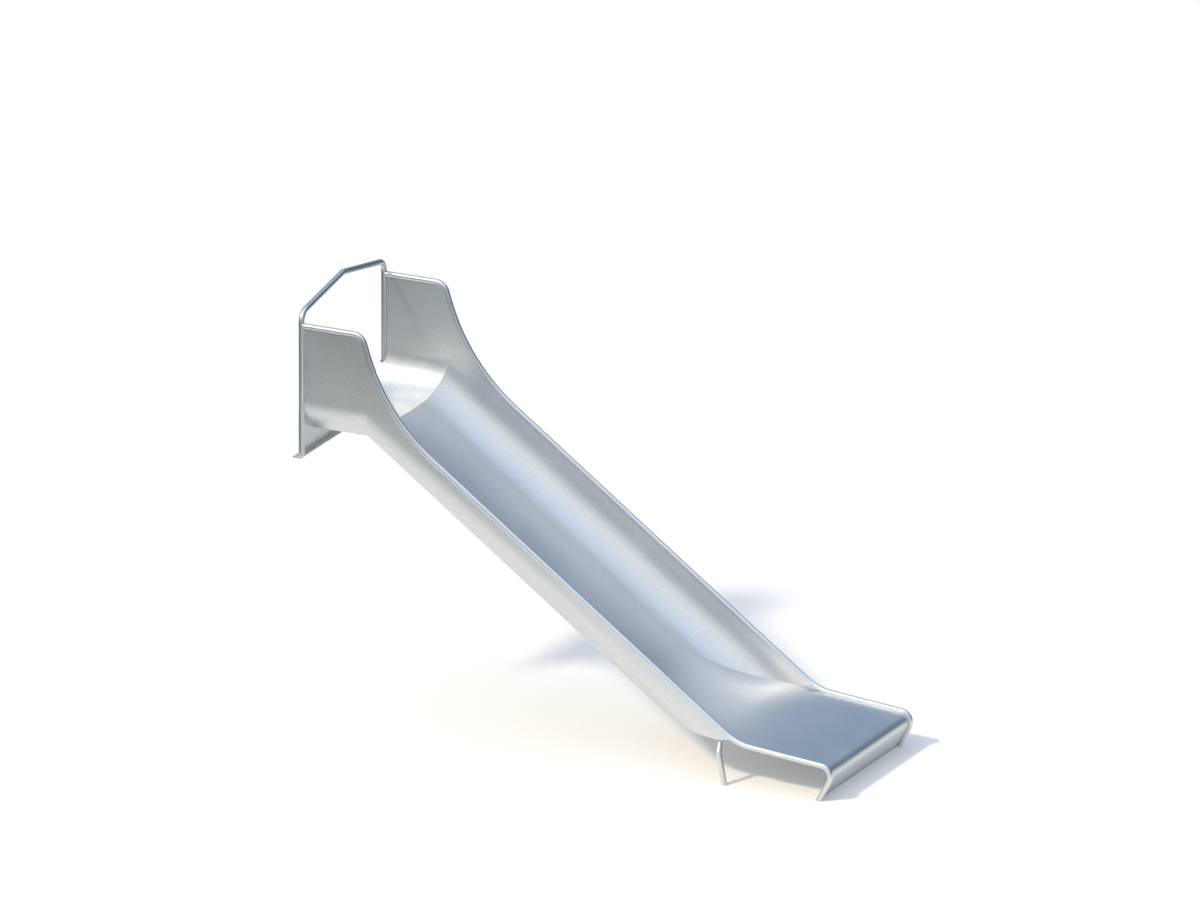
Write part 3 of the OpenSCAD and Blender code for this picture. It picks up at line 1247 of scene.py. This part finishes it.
    def runout_sheet(self) -> None:
        """Sweep, flat, nose and apron in one sheet."""
        rows = []
        for point in self.runout_line():
            half = self.reach_across(point)
            rows.append([placed(point, half * k) for k in steps(-1.0, 1.0, self.runout_columns)])
        self.sheet("runout_sheet", [grid(rows)])

    def crease(self, side: Side) -> list[Vector]:
        """Line on which the run-out's sweep meets a trough corner.

        Args:
            side: Its side of the slide.

        Returns:
            Its points, down to where the edge tube's bend starts.
        """
        last = self.slide.end.x - self.slide.edge_tangent
        line = [point for point in self.runout_line() if point.x <= last]
        return [placed(point, side.value * self.reach_across(point)) for point in line]

    def build(self) -> None:
        """Makes the three curved sheets."""
        self.start_trough()
        self.chute_trough()
        self.runout_sheet()


@dataclass
class WeldWork:
    """Visible welds: ripples round the tubes' ends, and dressed seams in the sheets."""

    slide: Slide
    finishes: Finishes
    sheets: SheetWork
    tubes: TubeWork
    width: float = 0.0022
    height: float = 0.0018
    pitch: float = 0.0020
    seed: int = 7
    seam_r: float = 0.0022
    seam_sides: int = 10
    ring_points: int = 48
    saddle_points: int = 64
    peak_sink: float = 0.001
    tree: Tree = field(default_factory=bead_tree)

    def bead(self, name: str, path: Sequence[Vector]) -> None:
        """Lays ripples round a closed path.

        Args:
            name: Name of the piece.
            path: The path.
        """
        sizes = {"Width": self.width, "Height": self.height, "Pitch": self.pitch}
        sizes |= {"Seed": self.seed, "Material": self.finishes.of(BEAD)}
        self.seed += 1
        self.finishes.settle(self.tree.run(name, path, True, sizes), BEAD)

    def seam(self, name: str, path: Sequence[Vector]) -> None:
        """Draws a smooth, dressed seam along a path.

        Args:
            name: Name of the piece.
            path: The path.
        """
        finish = self.finishes.of(SHEET)
        sizes = {"Radius": self.seam_r, "Sides": self.seam_sides, "Material": finish}
        self.finishes.settle(self.tubes.tree.run(name, path, False, sizes), SHEET)

    def ring(self, centre: Vector, axis: Vector, flat: Vector, radius: float) -> list[Vector]:
        """Line on which a round tube meets a flat face.

        Args:
            centre: Where the tube's centre line meets the face.
            axis: The tube's direction.
            flat: The face's normal.
            radius: The tube's radius.

        Returns:
            The points of the closed line.
        """
        first = axis.orthogonal().normalized()
        second = axis.cross(first).normalized()
        points = []
        for a in steps(0.0, 2 * math.pi, self.ring_points)[:-1]:
            step = radius * (first * math.cos(a) + second * math.sin(a))
            points.append(centre + step - axis * step.dot(flat) / axis.dot(flat))
        return points

    def saddle(self, side: Side) -> list[Vector]:
        """Line on which a level rail meets its post.

        Args:
            side: Its side of the slide.

        Returns:
            The points of the closed line.
        """
        reach = self.slide.stop
        post = Vector((0.0, self.slide.plane(side), self.slide.rail_height))
        return [
            post + reach * Vector((abs(math.sin(a)), math.cos(a), math.sin(a)))
            for a in steps(0.0, 2 * math.pi, self.saddle_points)[:-1]
        ]

    def build(self) -> None:
        """Lays every weld on both sides."""
        slide = self.slide
        _, flat = self.tubes.pad_cut
        for side in Side:
            foot = Vector((0.0, slide.plane(side), slide.plate))
            self.bead(f"{side.word}_post_weld", self.ring(foot, UP, UP, slide.tube_r))
            self.bead(f"{side.word}_rail_weld", self.saddle(side))
            _, knee, top = self.tubes.leg_points(side)
            axis = (top - knee).normalized()
            self.bead(f"{side.word}_leg_weld", self.ring(top, axis, flat, slide.tube_r))
            self.seam(f"{side.word}_crease_seam", self.sheets.crease(side))
        rise = math.atan2(slide.peak - slide.shoulder, slide.half_width)
        slant = Vector((0.0, math.cos(rise), -math.sin(rise)))
        radius = slide.tube_r - self.peak_sink
        self.bead("hoop_weld", self.ring(slide.hoop_peak, slant, Side.RIGHT.inward, radius))


@dataclass
class PlateWork:
    """Flat pieces that keep their CAD solids and get a finish."""

    finishes: Finishes
    sheets: tuple[str, ...] = ("left_cheek", "right_cheek", "head_panel")

    def build(self) -> None:
        """Dresses every CAD node, also those that a finer piece replaces later."""
        for name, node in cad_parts.items():
            steel = SHEET if name in self.sheets else PLATE
            self.finishes.dress(node, steel)
            log.info("%s: finish %s", name, steel.name)


@dataclass(frozen=True)
class PhotoCamera:
    """A long lens from the photograph's own direction; lens and sensor in millimetres."""

    azimuth: float = 26.47
    elevation: float = 18.98
    aim: Point3 = (1.8838, -0.516, 0.3236)
    frame_width: float = 6.783
    mean_depth: float = 0.75
    lens: float = 900.0
    sensor: float = 36.0
    nearest: float = 1.0
    farthest: float = 2000.0

    def build(self) -> None:
        """Creates the camera and makes it the scene's own."""
        data = bpy.data.cameras.new("photo_camera")
        data.lens, data.sensor_width = self.lens, self.sensor
        data.clip_start, data.clip_end = self.nearest, self.farthest
        camera = link("photo_camera", data)
        a = math.radians(self.azimuth)
        e = math.radians(self.elevation)
        back = Vector((math.sin(a) * math.cos(e), -math.cos(a) * math.cos(e), math.sin(e)))
        distance = self.frame_width * self.lens / self.sensor - self.mean_depth
        camera.rotation_mode = "QUATERNION"
        camera.location = Vector(self.aim) + back * distance
        camera.rotation_quaternion = (-back).to_track_quat("-Z", "Y")
        bpy.context.scene.camera = camera


@dataclass(frozen=True)
class Studio:
    """Pale floor, one soft sun, and a sky that differs from side to side.

    A reach is where a soft change starts and where it ends: on the floor in metres
    from a spot or along X, in the sky as a part of a unit direction. The edge of the
    veil, a painted white glow that only mirror images see, is counted from the apron's foot.
    """

    ground: float
    foot: float
    floor_size: float = 400.0
    middle: Point2 = (2.0, 0.1)
    lit: Colour = (0.78, 0.78, 0.77)
    lit_reach: Point2 = (3.6, 6.4)
    dim_uphill: Colour = (0.07, 0.09, 0.095)
    dim_downhill: Colour = (0.12, 0.16, 0.175)
    dim_reach: Point2 = (-1.0, 4.0)
    # The floor colour near the slide is a little warmer than far away: painted warm light.
    seen_near_warm_light: Colour = (0.84, 0.83, 0.805)
    seen_far: Colour = (0.83, 0.83, 0.82)
    seen_reach: Point2 = (0.8, 4.0)
    runout: Point2 = (2.9, 0.2)
    white_reach: Point2 = (1.7, 6.4)
    least_white: float = 0.17
    front: Point2 = (3.5, 0.3)
    # veil: strength of a painted white glow on the floor that only mirror images see; it paints a
    # lighter reflection on the apron
    veil: float = 0.4
    mirror_glow_reach: Point2 = (1.3, 0.5)
    mirror_glow_edge: Point2 = (-0.06, 0.14)
    sun_colour: Colour = (1.0, 0.86, 0.66)
    sun_strength: float = 2.7
    sun_gloss: float = 0.27
    sun_width: float = 6.0
    sun_way: Point3 = (0.368, 0.604, -0.707)
    glow: Colour = (0.55, 0.53, 0.51)
    glow_reach: Point2 = (0.68, 1.0)
    near_sky: Stops = (
        (0.0, (0.31, 0.36, 0.38)),
        (0.35, (0.71, 0.76, 0.82)),
        (0.5, (0.58, 0.64, 0.72)),
        (0.7, (0.83, 0.87, 0.95)),
        (1.0, (0.84, 1.02, 1.26)),
    )
    uphill_sky: Stops = (
        (0.0, (0.16, 0.24, 0.36)),
        (0.15, (0.17, 0.26, 0.38)),
        (0.3, (0.22, 0.33, 0.46)),
        (0.5, (0.10, 0.19, 0.34)),
        (0.68, (0.19, 0.31, 0.50)),
        (0.88, (0.84, 1.02, 1.26)),
    )
    downhill_sky: Stops = (
        (0.0, (0.05, 0.08, 0.09)),
        (0.32, (0.08, 0.12, 0.15)),
        (0.59, (0.10, 0.19, 0.34)),
        (0.85, (0.86, 1.01, 1.30)),
    )
    downhill_reach: Point2 = (-0.2, 0.4)
    beyond_reach: Point2 = (-0.5, 0.3)

    def build(self) -> None:
        """Makes the floor, the sun and the sky, and sets the view transform."""
        bpy.context.scene.view_settings.view_transform = "Standard"
        self.floor()
        self.sun()
        self.sky()

    def floor(self) -> None:
        """White floor that keeps the shadow and fades to plain white far away.

        What the steel mirrors of it is bright near the slide and dim beyond, and
        in front of the apron a white glow that only mirror images see lightens the
        shadow there: a painted reflection on the apron.
        """
        size = self.floor_size
        ends = ((-size, -size), (size, -size), (size, size), (-size, size))
        corners = [Vector((x, y, self.ground)) for x, y in ends]
        floor = smooth_piece("floor", [(corners, [(0, 1, 2, 3)])])
        material = bpy.data.materials.new("pale_floor")
        shader = Shader(material)
        x = shader.out("ShaderNodeSeparateXYZ", {"Vector": shader.place}, "X")
        camera, glossy = shader.ray("Is Camera Ray"), shader.ray("Is Glossy Ray")

        def near(spot: Point2, reach: Point2, least: float = 0.0) -> Socket:
            """Share by the distance from a spot on the floor."""
            return shader.ranged(shader.distance((*spot, self.ground)), reach, least)

        dim = shader.mixed(shader.ranged(x, self.dim_reach), self.dim_uphill, self.dim_downhill)
        mirrored = shader.mixed(near(self.middle, self.lit_reach), self.lit, dim)
        # The seen floor colour turns warmer near the slide: painted warm light.
        seen = shader.mixed(near(self.middle, self.seen_reach), self.seen_near_warm_light, self.seen_far)
        ground = shader.out("ShaderNodeBsdfPrincipled", {
            "Base Color": shader.mixed(camera, mirrored, seen),
            "Roughness": 1.0,
            "Specular IOR Level": 0.0,
        })
        white = shader.product(camera, near(self.runout, self.white_reach, self.least_white))
        # Painted reflection: a white glow that only glossy rays see, in front of the apron, lightens
        # the shadow that the apron mirrors.
        start, end = self.mirror_glow_edge
        outside = shader.ranged(x, (self.foot + start, self.foot + end))
        close = shader.product(near(self.front, self.mirror_glow_reach), self.veil)
        veil = shader.product(glossy, shader.product(outside, close))
        glare = shader.out("ShaderNodeEmission", {})
        shader.finish(shader.layered(shader.sum(white, veil), ground, glare))
        floor.data.materials.append(material)

    def sun(self) -> None:
        """One soft sun from behind a rider's right shoulder.

        Part of it is kept out of mirror images, so that the steel doesn't glare.
        """
        for name, share in (("sun", self.sun_gloss), ("sun_veil", 1.0 - self.sun_gloss)):
            data = bpy.data.lights.new(name, "SUN")
            data.color = self.sun_colour
            data.energy = self.sun_strength * share
            data.angle = math.radians(self.sun_width)
            lamp = link(name, data)
            lamp.rotation_mode = "QUATERNION"
            lamp.rotation_quaternion = Vector(self.sun_way).to_track_quat("-Z", "Y")
            lamp.visible_glossy = name == "sun"

    def sky(self) -> None:
        """Three gradients by height, blended by direction; plain white to the camera."""
        world = bpy.data.worlds.new("sky")
        bpy.context.scene.world = world
        shader = Shader(world, "Generated", "ShaderNodeOutputWorld")
        way = shader.add("ShaderNodeSeparateXYZ", {"Vector": shader.place}).outputs

        def ramp(stops: Stops) -> Socket:
            """Colours by the sine of the elevation.

            Args:
                stops: Sines and their colours.

            Returns:
                The colour.
            """
            node = shader.add("ShaderNodeValToRGB", {"Fac": way["Z"]})
            node.color_ramp.interpolation = "EASE"
            points = node.color_ramp.elements
            while len(points) < len(stops):
                points.new(0.5)
            for point, (sine, colour) in zip(points, stops):
                point.position = sine
                point.color = (*colour, 1.0)
            return node.outputs["Color"]

        downhill = shader.ranged(way["X"], self.downhill_reach)
        beyond = shader.mixed(downhill, ramp(self.uphill_sky), ramp(self.downhill_sky))
        share = shader.ranged(way["Y"], self.beyond_reach)
        colour = shader.mixed(share, ramp(self.near_sky), beyond)
        back = [-value for value in self.sun_way]
        values = {"operation": "DOT_PRODUCT", 0: shader.place, 1: back}
        toward = shader.out("ShaderNodeVectorMath", values, "Value")
        bright = shader.mixed(shader.ranged(toward, self.glow_reach), colour, self.glow, "ADD")
        sky = shader.out("ShaderNodeBackground", {"Color": bright})
        white = shader.out("ShaderNodeBackground", {"Color": (1.0, 1.0, 1.0, 1.0)})
        shader.finish(shader.layered(shader.ray("Is Camera Ray"), sky, white))


def main() -> None:
    """Builds the studio and the slide."""
    logging.basicConfig(level=logging.INFO, format="%(name)s: %(message)s")
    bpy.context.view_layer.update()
    slide = Slide()
    PhotoCamera().build()
    Studio(slide.ground, slide.foot.x).build()
    finishes = Finishes()
    PlateWork(finishes).build()
    tubes = TubeWork(slide, finishes)
    tubes.build()
    sheets = SheetWork(slide, finishes)
    sheets.build()
    WeldWork(slide, finishes, sheets, tubes).build()


if __name__ == "__main__":
    main()
